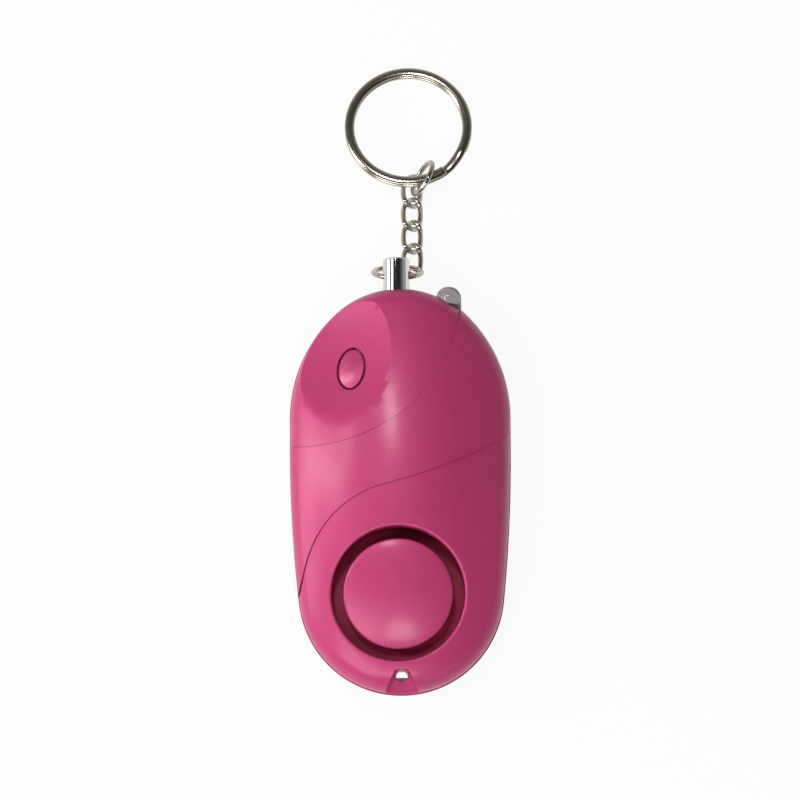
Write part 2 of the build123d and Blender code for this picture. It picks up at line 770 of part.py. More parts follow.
# Lamp: a clear round-nosed lens over a lead frame, its leads bent down to the board
with BuildPart() as lamp_cavity:
    with BuildSketch(Plane.XZ.offset(-lamp_base_y)):
        with Locations((lamp_x, pin_height)):
            Rectangle(lamp_lead_pitch + lamp_lead + 2 * lamp_gap, lamp_lead + 2 * lamp_gap)
    extrude(amount=-(lamp_frame_length - lamp_cup_length))
    add(lying_cylinder(lamp_x, lamp_cup_diameter / 2 + lamp_gap, lamp_base_y + lamp_frame_length
                       - lamp_cup_length, lamp_base_y + lamp_frame_length + lamp_gap))

with BuildPart() as lamp_lens:
    add(lying_cylinder(lamp_x, lamp_diameter / 2, lamp_base_y, lamp_tip_y))
    fillet(lamp_lens.edges().group_by(Axis.Y)[-1], lamp_diameter / 2 * lamp_nose_share)
    add(lying_cylinder(lamp_x, lamp_flange_diameter / 2, lamp_base_y, lamp_base_y + lamp_flange_thickness))
    add(lamp_cavity.part, mode=Mode.SUBTRACT)

with BuildPart() as lamp_leads:
    for x, y in lead_places:
        with BuildSketch(Plane.XY.offset(board_bottom - lamp_lead)):
            with Locations((x, y)):
                Rectangle(lamp_lead, lamp_lead)
        extrude(amount=pin_height + lamp_lead / 2 - board_bottom + lamp_lead)
        with BuildSketch(Plane.XZ.offset(-(y - lamp_lead / 2))):
            with Locations((x, pin_height)):
                Rectangle(lamp_lead, lamp_lead)
        extrude(amount=-(lamp_base_y + lamp_frame_length - lamp_cup_length - y + lamp_lead / 2))
    add(lying_cylinder(lamp_x, lamp_cup_diameter / 2, lamp_base_y + lamp_frame_length - lamp_cup_length,
                       lamp_base_y + lamp_frame_length))
    with BuildSketch(Plane.XZ.offset(-(lamp_base_y + lamp_frame_length))):
        with Locations((lamp_x, pin_height)):
            Circle(lamp_cup_bowl)
    extrude(amount=lamp_cup_bowl, mode=Mode.SUBTRACT)
    with BuildSketch(Plane.XZ.offset(-(lamp_base_y + lamp_frame_length - lamp_cup_length))):
        with Locations((lamp_x, pin_height)):
            Rectangle(lamp_lead_pitch - lamp_lead, lamp_lead)
    extrude(amount=lamp_lead)

# Button cells in their tray
cells_low_x = -cell_count * cell_height / 2
with BuildPart() as button_cells:
    for i in range(cell_count):
        with BuildSketch(Plane.YZ.offset(cells_low_x + i * cell_height + cell_cap_height)):
            with Locations((cell_y, cell_axis_height)):
                Circle(cell_diameter / 2)
        can = extrude(amount=cell_height - cell_cap_height)
        fillet(can.edges().filter_by(GeomType.CIRCLE), cell_edge)
        with BuildSketch(Plane.YZ.offset(cells_low_x + i * cell_height)):
            with Locations((cell_y, cell_axis_height)):
                Circle(cell_cap_diameter / 2)
        extrude(amount=cell_height / 2)

tray_low_x = cells_low_x - spring_space - terminal_thickness - tray_wall
tray_high_x = -cells_low_x + terminal_thickness + terminal_clearance + tray_wall
tray_mid_x = (tray_low_x + tray_high_x) / 2
tray_room_y = cell_diameter + 2 * cell_gap
with BuildPart() as battery_tray:
    with BuildSketch(Plane.XY.offset(wall)):
        with Locations((tray_mid_x, cell_y)):
            Rectangle(tray_high_x - tray_low_x, tray_room_y + 2 * tray_wall)
    extrude(amount=tray_height)
    with BuildSketch(Plane.XY.offset(wall + tray_floor)):
        with Locations((tray_mid_x, cell_y)):
            Rectangle(tray_high_x - tray_low_x - 2 * tray_wall, tray_room_y)
    extrude(amount=tray_height, mode=Mode.SUBTRACT)

with BuildPart() as positive_terminal:
    with BuildSketch(Plane.XY.offset(wall + tray_floor)):
        with Locations((tray_high_x - tray_wall - terminal_thickness / 2, cell_y)):
            Rectangle(terminal_thickness, terminal_width)
    extrude(amount=terminal_height)

with BuildPart() as negative_terminal:
    with BuildSketch(Plane.XY.offset(wall + tray_floor)):
        with Locations((tray_low_x + tray_wall + terminal_thickness / 2, cell_y)):
            Rectangle(terminal_thickness, terminal_width)
    extrude(amount=terminal_height)

spring_length = spring_space - spring_wire - 2 * terminal_clearance
spring_cone = math.degrees(math.atan((spring_large_radius - spring_small_radius) / spring_length))
spring_start = (cells_low_x - terminal_clearance - spring_wire / 2, cell_y, cell_axis_height)
with BuildPart() as battery_spring:
    with BuildLine():
        coil = Helix(spring_length / spring_turns, spring_length, spring_small_radius,
                     center=spring_start, direction=(-1, 0, 0), cone_angle=spring_cone)
    with BuildSketch(Plane(origin=coil @ 0, z_dir=coil % 0)):
        Circle(spring_wire / 2)
    sweep(path=coil, is_frenet=True)

# Chain: a ring through the pin's hole, bent links and a ring to the key ring
ring_tilt = math.radians(pin_ring_lean)
ring_up = Vector(0, -math.sin(ring_tilt), math.cos(ring_tilt))
pin_ring_center = (Vector(pin_x + pin_ring_shift, pin_tip_y - pin_hole_from_tip, pin_height)
                   - ring_up * pin_ring_drop)
pin_ring_axis = Vector(1, 0, 0).cross(ring_up)
with BuildPart() as pin_ring:
    with Locations(Plane(origin=pin_ring_center, x_dir=(1, 0, 0), z_dir=pin_ring_axis)):
        Torus(pin_ring_radius, pin_ring_wire / 2)

hook_turn = math.radians(hook_angle)
hook = (pin_ring_center + Vector(1, 0, 0) * (pin_ring_radius * math.sin(hook_turn))
        + ring_up * (pin_ring_radius * math.cos(hook_turn)))
link_half_length = (link_pitch + chain_wire + link_gap) / 2
link_corner = link_half_width / math.sqrt(2)
link_first = hook + Vector(0, link_half_length - chain_wire - link_gap, 0)


def chain_link(number):
    """One bent link of the chain, counted from the pin."""
    center = link_first + Vector(0, number * link_pitch, 0)
    side = Vector(link_corner, 0, 0)
    top = [Vector(link_corner, link_half_length, link_corner),
           Vector(-link_corner, link_half_length, -link_corner)]
    low = [Vector(-link_corner, -link_half_length, link_corner),
           Vector(link_corner, -link_half_length, -link_corner)]
    with BuildPart() as bent:
        for corners in ([side] + top + [-side], [-side] + low + [side]):
            with BuildLine():
                bend = FilletPolyline(*[center + corner for corner in corners], radius=link_bend_radius)
            with BuildSketch(Plane(origin=bend @ 0, z_dir=bend % 0)):
                Circle(chain_wire / 2)
            sweep(path=bend)
    return bent.part


with BuildPart() as chain_link_1:
    add(chain_link(0))

with BuildPart() as chain_link_2:
    add(chain_link(1))

with BuildPart() as chain_link_3:
    add(chain_link(2))

with BuildPart() as chain_link_4:
    add(chain_link(3))

chain_end = link_first + Vector(0, link_half_length + (link_count - 1) * link_pitch, 0)
top_ring_center = chain_end + Vector(top_ring_from_chain_x, top_ring_from_chain_y, top_ring_from_chain_z)
with BuildPart() as top_ring:
    with Locations(Plane(origin=top_ring_center, z_dir=Vector(*top_ring_axis_shares))):
        Torus(top_ring_radius, top_ring_wire / 2)

# Key ring: two flat turns of one wire with a jog between them
key_turn = math.radians(key_ring_tilt)
key_ring_center = Vector(key_ring_x, key_ring_y,
                         key_ring_diameter / 2 * math.sin(key_turn) + key_ring_floor_gap
                         + (key_ring_turn_thickness + key_ring_turn_gap / 2) * math.cos(key_turn))
key_ring_plane = Plane(origin=key_ring_center, x_dir=(1, 0, 0),
                       z_dir=(0, math.sin(key_turn), math.cos(key_turn)))
key_ring_radius = (key_ring_diameter - key_ring_band) / 2
turn_height = (key_ring_turn_thickness + key_ring_turn_gap) / 2


def key_wire(angle, height):
    """The flat wire's section at an angle round the key ring."""
    turn = math.radians(angle)
    radial = Vector(math.cos(turn), math.sin(turn), 0)
    local = Plane(origin=radial * key_ring_radius + Vector(0, 0, height), x_dir=radial,
                  z_dir=(-math.sin(turn), math.cos(turn), 0))
    with BuildSketch(key_ring_plane * local.location) as section:
        RectangleRounded(key_ring_band, key_ring_turn_thickness, key_ring_edge)
    return section.sketch


with BuildPart() as key_ring:
    add(key_wire(key_ring_jog_at + key_ring_jog_angle, -turn_height))
    revolve(axis=Axis(key_ring_center, key_ring_plane.z_dir), revolution_arc=360 - key_ring_jog_angle)
    add(key_wire(key_ring_jog_at + key_ring_jog_angle, turn_height))
    revolve(axis=Axis(key_ring_center, key_ring_plane.z_dir), revolution_arc=360 - key_ring_jog_angle)
    add(key_wire(key_ring_jog_at, -turn_height))
    add(key_wire(key_ring_jog_at + key_ring_jog_angle, turn_height))
    loft()

front_shell.part.label = "front_shell"
rear_shell.part.label = "rear_shell"
case_screws.part.label = "case_screws"
piezo_plate.part.label = "piezo_plate"
piezo_ceramic.part.label = "piezo_ceramic"
circuit_board.part.label = "circuit_board"
torch_button.part.label = "torch_button"
switch_plunger.part.label = "switch_plunger"
torch_switch.part.label = "torch_switch"
coil_core.part.label = "coil_core"
coil_winding.part.label = "coil_winding"
capacitor.part.label = "capacitor"
sound_chip.part.label = "sound_chip"
transistor.part.label = "transistor"
pin_barrel.part.label = "pin_barrel"
pin_plug.part.label = "pin_plug"
pin_socket.part.label = "pin_socket"
contact_left.part.label = "contact_left"
contact_right.part.label = "contact_right"
lamp_lens.part.label = "lamp_lens"
lamp_leads.part.label = "lamp_leads"
button_cells.part.label = "button_cells"
battery_tray.part.label = "battery_tray"
positive_terminal.part.label = "positive_terminal"
negative_terminal.part.label = "negative_terminal"
battery_spring.part.label = "battery_spring"
pin_ring.part.label = "pin_ring"
chain_link_1.part.label = "chain_link_1"
chain_link_2.part.label = "chain_link_2"
chain_link_3.part.label = "chain_link_3"
chain_link_4.part.label = "chain_link_4"
top_ring.part.label = "top_ring"
key_ring.part.label = "key_ring"

export_step(front_shell.part, "parts/front_shell.step")
export_step(rear_shell.part, "parts/rear_shell.step")
export_step(case_screws.part, "parts/case_screws.step")
export_step(piezo_plate.part, "parts/piezo_plate.step")
export_step(piezo_ceramic.part, "parts/piezo_ceramic.step")
export_step(circuit_board.part, "parts/circuit_board.step")
export_step(torch_button.part, "parts/torch_button.step")
export_step(switch_plunger.part, "parts/switch_plunger.step")
export_step(torch_switch.part, "parts/torch_switch.step")
export_step(coil_core.part, "parts/coil_core.step")
export_step(coil_winding.part, "parts/coil_winding.step")
export_step(capacitor.part, "parts/capacitor.step")
export_step(sound_chip.part, "parts/sound_chip.step")
export_step(transistor.part, "parts/transistor.step")
export_step(pin_barrel.part, "parts/pin_barrel.step")
export_step(pin_plug.part, "parts/pin_plug.step")
export_step(pin_socket.part, "parts/pin_socket.step")
export_step(contact_left.part, "parts/contact_left.step")
export_step(contact_right.part, "parts/contact_right.step")
export_step(lamp_lens.part, "parts/lamp_lens.step")
export_step(lamp_leads.part, "parts/lamp_leads.step")
export_step(button_cells.part, "parts/button_cells.step")
export_step(battery_tray.part, "parts/battery_tray.step")
export_step(positive_terminal.part, "parts/positive_terminal.step")
export_step(negative_terminal.part, "parts/negative_terminal.step")
export_step(battery_spring.part, "parts/battery_spring.step")
export_step(pin_ring.part, "parts/pin_ring.step")
export_step(chain_link_1.part, "parts/chain_link_1.step")
export_step(chain_link_2.part, "parts/chain_link_2.step")
export_step(chain_link_3.part, "parts/chain_link_3.step")
export_step(chain_link_4.part, "parts/chain_link_4.step")
export_step(top_ring.part, "parts/top_ring.step")
export_step(key_ring.part, "parts/key_ring.step")
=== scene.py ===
"""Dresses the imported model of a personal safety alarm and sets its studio.

The alarm lies on its back: Z is up out of the front, Y runs along the body to the key ring and X is
to the right as the front is seen. Blender's lengths are metres; sizes here are millimetres and go
through MM once.
"""

import json
import logging
import math
from dataclasses import dataclass, field
from enum import Enum
from typing import ClassVar, Optional

import bmesh
import bpy
import numpy as np
from mathutils import Matrix, Vector


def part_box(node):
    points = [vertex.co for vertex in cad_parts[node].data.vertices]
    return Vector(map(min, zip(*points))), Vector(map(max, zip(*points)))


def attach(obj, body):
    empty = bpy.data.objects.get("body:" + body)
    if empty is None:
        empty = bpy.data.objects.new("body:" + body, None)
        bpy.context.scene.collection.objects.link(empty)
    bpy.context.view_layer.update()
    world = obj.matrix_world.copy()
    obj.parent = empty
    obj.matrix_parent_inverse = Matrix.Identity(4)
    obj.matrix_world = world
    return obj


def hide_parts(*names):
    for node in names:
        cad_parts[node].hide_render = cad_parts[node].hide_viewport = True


MM = 0.001
LOG = logging.getLogger("safety_alarm")

Point = tuple[float, float, float]
WHITE = (1, 1, 1, 1)


def linear(code: str) -> tuple[float, float, float, float]:
    """Turns an sRGB hex colour into linear RGBA.

    The sRGB curve is a line, v / 12.92, up to 0.04045, and ((v + 0.055) / 1.055) ^ 2.4 above it.

    Args:
        code: six hex digits, with or without a leading hash.

    Returns:
        Linear red, green, blue and an alpha of one.
    """
    digits = code.lstrip("#")
    parts = [int(digits[i:i + 2], 16) / 255 for i in (0, 2, 4)]
    light = [p / 12.92 if p <= 0.04045 else ((p + 0.055) / 1.055) ** 2.4 for p in parts]
    return light[0], light[1], light[2], 1.0


def add_node(tree: bpy.types.NodeTree, kind: str, links: Optional[dict[str | int, object]] = None,
             **settings: object) -> bpy.types.Node:
    """Adds a node with its settings and links.

    Args:
        tree: the node tree that takes the node.
        kind: the node's type name.
        links: input name or index to the output socket that feeds it, or to a plain value.
        settings: attributes of the node itself.

    Returns:
        The new node.
    """
    made = tree.nodes.new(kind)
    for name, value in settings.items():
        setattr(made, name, value)
    for name, value in (links or {}).items():
        if isinstance(value, bpy.types.NodeSocket):
            tree.links.new(value, made.inputs[name])
        else:
            made.inputs[name].default_value = value
    return made


class Marks(Enum):
    """How the fine pattern of a finish is drawn."""

    FLAKE = "cells, each with its own value, as metal flakes under clear lacquer"
    GRAIN = "soft noise, as the unevenness that moulding, plating, pressing or casting leaves"


@dataclass(frozen=True)
class Finish:
    """One surface finish, named for the real material and how it was made."""

    # A broad patch is this many grains wide
    BROAD_GRAINS: ClassVar[int] = 12
    FINE_DETAIL: ClassVar[float] = 3.0
    BROAD_DETAIL: ClassVar[float] = 2.0
    # Most values of a noise lie between these two, and the roughness goes with them
    NOISE_RANGE: ClassVar[tuple[float, float]] = (0.3, 0.7)
    ROUGHNESS_SHARES: ClassVar[tuple[float, float]] = (0.88, 1.12)
    RELIEF_STRENGTH: ClassVar[float] = 0.25
    # How open a spot is where the painted shade is full, and where it has gone
    OPEN_RANGE: ClassVar[tuple[float, float]] = (0.35, 0.8)
    TRACED_SAMPLES: ClassVar[int] = 8

    name: str
    colour: str
    second: str
    metallic: float
    roughness: float
    marks: Marks
    grain_mm: float
    bump_mm: float = 0.01
    coat: float = 0.0
    coat_roughness: float = 0.08
    ior: float = 1.5
    spread: float = 0.12
    transmission: float = 0.0
    edge_mm: float = 0.0
    # The darker colour painted into closed-in spots as shade, and how far off the cover is sought
    painted_shade: Optional[str] = None
    painted_shade_mm: float = 4.0

    def material(self) -> bpy.types.Material:
        """Builds the node material, once for all the pieces that share it.

        The colour goes from the first to the second by spread times the sum of the fine pattern and
        the broad noise. The fine pattern also lifts the surface, and the broad noise sways the
        roughness. Edges are rounded by edge_mm. Spots that are closed in within the shade's reach
        take the darker shade colour, which is painted shade.

        Returns:
            The material, whose pattern reads Object coordinates.
        """
        found = bpy.data.materials.get(self.name)
        if found:
            return found
        made = bpy.data.materials.new(self.name)
        made.use_nodes = True
        tree = made.node_tree
        tree.nodes.clear()
        place = add_node(tree, "ShaderNodeTexCoord").outputs["Object"]
        fine = self.fine_pattern(tree, place)
        broad = add_node(tree, "ShaderNodeTexNoise",
                         {"Vector": place, "Scale": 1 / (self.BROAD_GRAINS * self.grain_mm * MM),
                          "Detail": self.BROAD_DETAIL}).outputs["Fac"]
        colour = self.base_colour(tree, fine, broad)
        rough = add_node(tree, "ShaderNodeMapRange",
                         {"Value": broad,
                          "From Min": self.NOISE_RANGE[0], "From Max": self.NOISE_RANGE[1],
                          "To Min": self.roughness * self.ROUGHNESS_SHARES[0],
                          "To Max": self.roughness * self.ROUGHNESS_SHARES[1]})
        relief = {"Height": fine, "Strength": self.RELIEF_STRENGTH, "Distance": self.bump_mm * MM}
        if self.edge_mm:
            relief["Normal"] = add_node(tree, "ShaderNodeBevel", {"Radius": self.edge_mm * MM},
                                        samples=self.TRACED_SAMPLES).outputs["Normal"]
        bump = add_node(tree, "ShaderNodeBump", relief)
        shader = add_node(tree, "ShaderNodeBsdfPrincipled",
                          {"Base Color": colour, "Metallic": self.metallic,
                           "Roughness": rough.outputs["Result"], "IOR": self.ior,
                           "Coat Weight": self.coat, "Coat Roughness": self.coat_roughness,
                           "Transmission Weight": self.transmission,
                           "Normal": bump.outputs["Normal"]})
        add_node(tree, "ShaderNodeOutputMaterial", {"Surface": shader.outputs["BSDF"]})
        made.diffuse_color = linear(self.colour)
        return made

    def fine_pattern(self, tree: bpy.types.NodeTree,
                     place: bpy.types.NodeSocket) -> bpy.types.NodeSocket:
        """Adds the fine pattern, whose cells or grains are grain_mm wide.

        Args:
            tree: the material's node tree.
            place: the Object coordinates.

        Returns:
            The pattern's value.
        """
        scale = 1 / (self.grain_mm * MM)
        if self.marks is Marks.FLAKE:
            flakes = add_node(tree, "ShaderNodeTexVoronoi", {"Vector": place, "Scale": scale})
            return add_node(tree, "ShaderNodeSeparateColor",
                            {"Color": flakes.outputs["Color"]}).outputs["Red"]
        return add_node(tree, "ShaderNodeTexNoise",
                        {"Vector": place, "Scale": scale,
                         "Detail": self.FINE_DETAIL}).outputs["Fac"]

    def base_colour(self, tree: bpy.types.NodeTree, fine: bpy.types.NodeSocket,
                    broad: bpy.types.NodeSocket) -> bpy.types.NodeSocket:
        """Adds the mix of the two colours, and painted shade in closed-in spots where the finish
        has one.

        Args:
            tree: the material's node tree.
            fine: the fine pattern's value.
            broad: the broad noise's value.

        Returns:
            The colour.
        """
        near, far = (add_node(tree, "ShaderNodeMath", {0: value, 1: self.spread},
                              operation="MULTIPLY").outputs[0] for value in (fine, broad))
        share = add_node(tree, "ShaderNodeMath", {0: near, 1: far},
                         operation="ADD", use_clamp=True).outputs[0]
        colour = add_node(tree, "ShaderNodeMix",
                          {"Factor": share, "A": linear(self.colour), "B": linear(self.second)},
                          data_type="RGBA").outputs["Result"]
        if not self.painted_shade:
            return colour
        # Painted shade: where ambient occlusion finds the spot closed in, the shade colour takes
        # over
        free = add_node(tree, "ShaderNodeAmbientOcclusion", {"Distance": self.painted_shade_mm * MM},
                        samples=self.TRACED_SAMPLES, only_local=True).outputs["AO"]
        open_share = add_node(tree, "ShaderNodeMapRange",
                              {"Value": free, "From Min": self.OPEN_RANGE[0],
                               "From Max": self.OPEN_RANGE[1]},
                              interpolation_type="SMOOTHSTEP").outputs["Result"]
        return add_node(tree, "ShaderNodeMix",
                        {"Factor": open_share, "A": linear(self.painted_shade), "B": colour},
                        data_type="RGBA").outputs["Result"]


# Sprayed metallic lacquer over ABS: deep pink, brighter where flakes face the light,
# under a satin clear coat. Narrow grooves and gaps take a dark wine red, which is painted
# shade. Real flakes are too fine for the render, so they are drawn about as wide as one of its
# pixels. The IOR starts at a lacquer's 1.5 and is matched lower, for a weaker sheen
PINK = Finish("lacquered_abs_pink", "#CB3C76", "#DE5E92", metallic=0.12, roughness=0.44,
              marks=Marks.FLAKE, grain_mm=0.16, bump_mm=0.006, coat=0.32, coat_roughness=0.2,
              ior=1.38, edge_mm=0.22, painted_shade="#98143C")
# The same lacquer on the small button, which shows a little lighter
BUTTON = Finish("lacquered_abs_button", "#CB3F77", "#DE6294", metallic=0.12, roughness=0.4,
                marks=Marks.FLAKE, grain_mm=0.16, bump_mm=0.005, coat=0.4, coat_roughness=0.2,
                edge_mm=0.2)
# Bright chromium plate over a turned brass pin: nearly a mirror
CHROME = Finish("chromium_plate", "#D2D2D4", "#DEDEE0", metallic=1.0, roughness=0.04,
                marks=Marks.GRAIN, grain_mm=0.5, bump_mm=0.003, spread=0.2)
# Nickel plate over drawn steel wire: warm grey and bright, a little uneven
NICKEL = Finish("nickel_plated_wire", "#A8A194", "#BFB8AC", metallic=1.0, roughness=0.14,
                marks=Marks.GRAIN, grain_mm=0.8, bump_mm=0.01, spread=0.35)
# Nickel plate over rolled wire: the same grey, softer in its shine
FLAT_NICKEL = Finish("nickel_plated_flat_wire", "#ADA699", "#C4BDB1", metallic=1.0, roughness=0.2,
                     marks=Marks.GRAIN, grain_mm=1.2, bump_mm=0.008, spread=0.35)
# Clear cast epoxy of a round-nosed lamp: smooth and greyish, and the leads show through it
EPOXY = Finish("clear_cast_epoxy", "#ABA1A7", "#BDB4B9", metallic=0.0, roughness=0.05,
               marks=Marks.GRAIN, grain_mm=2.0, bump_mm=0.002, ior=1.5, spread=0.1,
               transmission=0.78)
# Tin over a stamped steel lead frame: pale grey and satin
TINNED = Finish("tinned_lead_frame", "#9B9C9E", "#B5B6B8", metallic=1.0, roughness=0.3,
                marks=Marks.GRAIN, grain_mm=0.4, bump_mm=0.004, spread=0.3)
# Zinc plate over a rolled steel screw: cold grey, duller than nickel
ZINC = Finish("zinc_plated_screw", "#8F9092", "#A8A9AB", metallic=1.0, roughness=0.32,
              marks=Marks.GRAIN, grain_mm=0.5, bump_mm=0.006, spread=0.3)
# Rolled spring brass, stamped and bare: yellow metal with a soft shine
BRASS = Finish("spring_brass", "#B8975A", "#CDAE70", metallic=1.0, roughness=0.28,
               marks=Marks.GRAIN, grain_mm=0.5, bump_mm=0.004, spread=0.3)
# Fired ceramic under a printed silver layer: off-white, between metal and chalk
CERAMIC = Finish("silvered_ceramic", "#C9C7C0", "#DCDAD4", metallic=0.6, roughness=0.4,
                 marks=Marks.GRAIN, grain_mm=0.3, bump_mm=0.004)
# Woven glass laminate under a green solder mask: glossy, with the weave faint in its colour
BOARD = Finish("solder_masked_laminate", "#0F4A26", "#1B6336", metallic=0.0, roughness=0.38,
               marks=Marks.GRAIN, grain_mm=0.5, bump_mm=0.008, coat=0.3, spread=0.4)
# Moulded nylon, self-coloured: black and half matt
BLACK_NYLON = Finish("moulded_black_nylon", "#17171A", "#232327", metallic=0.0, roughness=0.5,
                     marks=Marks.GRAIN, grain_mm=0.3, bump_mm=0.01)
# Pressed and fired ferrite: dark grey and matt
FERRITE = Finish("pressed_ferrite", "#1E1E20", "#2C2C2F", metallic=0.0, roughness=0.62,
                 marks=Marks.GRAIN, grain_mm=0.25, bump_mm=0.012)
# Copper wire under clear enamel: brownish red with a metal's shine
COPPER = Finish("enamelled_copper_wire", "#A9562A", "#C26B38", metallic=0.9, roughness=0.3,
                marks=Marks.GRAIN, grain_mm=0.3, bump_mm=0.01)
# Heat-shrunk film round a capacitor's can: dark blue and smooth
SLEEVE = Finish("shrunk_capacitor_sleeve", "#2A3350", "#35406A", metallic=0.0, roughness=0.35,
                marks=Marks.GRAIN, grain_mm=0.6, bump_mm=0.004)
# Potting epoxy of chips and transistors: black, a little softer than gloss
EPOXY_BLACK = Finish("potting_epoxy_black", "#101012", "#1A1A1D", metallic=0.0, roughness=0.42,
                     marks=Marks.GRAIN, grain_mm=0.6, bump_mm=0.006)
# Nickel-plated steel can of a button cell: neutral grey and bright
CELL_CAN = Finish("nickel_plated_cell_can", "#A9A9AA", "#C0C0C1", metallic=1.0, roughness=0.24,
                  marks=Marks.GRAIN, grain_mm=1.0, bump_mm=0.003, spread=0.25)


def surface(name: str, grid: np.ndarray, loop_rows: bool = False,
            capped: bool = False) -> bpy.types.Mesh:
    """Makes a closed mesh from a grid of points whose columns run round.

    Vertex (i, j) is grid[i, j]. Each quad joins two neighbours of a row to the same two of the next
    row. The last column joins the first, and the last row joins the first where the rows loop. A
    cap joins an end row to its mean point. A shape that comes out inside out is turned round,
    which the sign of its volume tells: the sum of a . (b x c) over its triangles.

    Args:
        name: the mesh's name.
        grid: an array of rows by columns by three, in millimetres.
        loop_rows: whether the last row joins the first.
        capped: whether the two end rows are closed.

    Returns:
        The mesh, shaded smooth.
    """
    rows, columns = grid.shape[:2]
    index = np.arange(rows * columns).reshape(rows, columns)
    low, high = (index, np.roll(index, -1, 0)) if loop_rows else (index[:-1], index[1:])
    quads = np.stack([low, high, np.roll(high, -1, 1), np.roll(low, -1, 1)], -1).reshape(-1, 4)
    points = grid.reshape(-1, 3)
    faces = [quads[:, [0, 1, 2]], quads[:, [0, 2, 3]]]
    fans = []
    if capped:
        points = np.vstack([points, grid[0].mean(0), grid[-1].mean(0)])
        first, last = index[0], index[-1]
        tip = np.full(columns, rows * columns)
        fans = [np.stack([tip, first, np.roll(first, -1)], -1),
                np.stack([tip + 1, np.roll(last, -1), last], -1)]
    triangles = np.vstack(faces + fans)
    a, b, c = (points[triangles[:, k]] for k in range(3))
    turned = np.einsum("ij,ij->i", a, np.cross(b, c)).sum() < 0
    polygons = [q[::-1] if turned else q for q in quads.tolist()]
    polygons += [t[::-1] if turned else t for fan in fans for t in fan.tolist()]
    mesh = bpy.data.meshes.new(name)
    mesh.from_pydata((points * MM).tolist(), [], polygons)
    mesh.polygons.foreach_set("use_smooth", np.ones(len(polygons), dtype=bool))
    mesh.update()
    return mesh


@dataclass
class SubAssembly:
    """CAD nodes that keep their shape and get their real finishes."""

    finishes: dict[str, Finish] = field(default_factory=dict)
    broad_first: tuple[str, ...] = ()
    edge_angle: float = 24.0
    merge_mm: float = 0.002

    def build(self) -> list[bpy.types.Object]:
        """Makes every piece of the sub-assembly."""
        return [self.smooth_copy(node, finish) for node, finish in self.finishes.items()]

    def smooth_copy(self, node: str, finish: Finish) -> bpy.types.Object:
        """Copies a node's mesh, merges its triangles and shades it smooth between true edges.

        An edge is true where its faces meet at edge_angle or more. In a node of broad_first, wide
        faces lead the shading, so that narrow roundings don't bend the reflections on them.

        Args:
            node: the CAD node.
            finish: what it is made of.

        Returns:
            The piece that replaces the node.
        """
        mesh = FRAME["nodes"][node].data.copy()
        mesh.name = node + "_smooth"
        shape = bmesh.new()
        shape.from_mesh(mesh)
        bmesh.ops.remove_doubles(shape, verts=shape.verts, dist=self.merge_mm * MM)
        for face in shape.faces:
            face.smooth = True
        limit = math.radians(self.edge_angle)
        for edge in shape.edges:
            edge.smooth = len(edge.link_faces) == 2 and edge.calc_face_angle(0.0) < limit
        shape.to_mesh(mesh)
        shape.free()
        made = self.piece(node, mesh, finish)
        if node in self.broad_first:
            weighted = made.modifiers.new("broad_faces_first", "WEIGHTED_NORMAL")
            weighted.keep_sharp = True
        return made

    def piece(self, node: str, mesh: bpy.types.Mesh, finish: Finish) -> bpy.types.Object:
        """Dresses a mesh and lets it stand for a node.

        Args:
            node: the CAD node that it replaces, whose body it takes.
            mesh: the mesh.
            finish: what it is made of.

        Returns:
            The piece.
        """
        made = self.loose_piece(node + "_dressed", mesh, finish, node)
        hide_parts(node)
        return made

    def loose_piece(self, name: str, mesh: bpy.types.Mesh, finish: Finish,
                    like: str) -> bpy.types.Object:
        """Dresses a mesh and lets it ride with a node.

        Args:
            name: the piece's name.
            mesh: the mesh.
            finish: what it is made of.
            like: the CAD node whose body it takes.

        Returns:
            The piece.
        """
        made = bpy.data.objects.new(name, mesh)
        bpy.context.scene.collection.objects.link(made)
        mesh.materials.clear()
        mesh.materials.append(finish.material())
        record = FRAME["record"]
        body = next(body for body, nodes in record["behaviour"]["bodies"].items() if like in nodes)
        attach(made, body)
        return made


@dataclass
class Case(SubAssembly):
    """The two lacquered shells, their screws and the leaning wall inside the lanyard eye."""

    finishes: dict[str, Finish] = field(default_factory=lambda: {
        "front_shell": PINK, "rear_shell": PINK, "case_screws": ZINC})
    eye_y: float = -36.3
    eye_radius: float = 1.16
    eye_wall_top: float = 12.0
    eye_wall_low: float = 4.9
    eye_wall_lean: float = 1.05
    # The share of the way down at which the wall begins, as a sliver
    eye_wall_start: float = 0.02
    eye_steps: int = 12

    def build(self) -> list[bpy.types.Object]:
        """Makes the shells and the eye's wall."""
        return super().build() + [self.eye_wall()]

    def eye_wall(self) -> bpy.types.Object:
        """Builds the wall that makes the eye narrower towards the back.

        At a share t of the way down, the section is the part of the eye's circle below the chord at
        y = -r + t * lean: an arc of half-width acos(1 - t * lean / r), closed by its chord.

        Returns:
            The piece.
        """
        depth = np.linspace(self.eye_wall_start, 1.0, self.eye_steps)[:, None]
        half = np.arccos(1 - depth * self.eye_wall_lean / self.eye_radius)
        share = np.linspace(-1.0, 1.0, self.eye_steps)[None, :]
        arc_x = self.eye_radius * np.sin(half * share)
        arc_y = self.eye_y - self.eye_radius * np.cos(half * share)
        chord_x = self.eye_radius * np.sin(half) * -share[:, 1:-1]
        chord_y = np.broadcast_to(self.eye_y - self.eye_radius * np.cos(half), chord_x.shape)
        x, y = np.hstack([arc_x, chord_x]), np.hstack([arc_y, chord_y])
        fall = self.eye_wall_low - self.eye_wall_top
        z = np.broadcast_to(self.eye_wall_top + fall * depth, x.shape)
        mesh = surface("lanyard_eye_wall", np.stack([x, y, z], -1), capped=True)
        mesh.polygons.foreach_set("use_smooth", np.zeros(len(mesh.polygons), dtype=bool))
        return self.loose_piece("lanyard_eye_wall", mesh, PINK, "rear_shell")


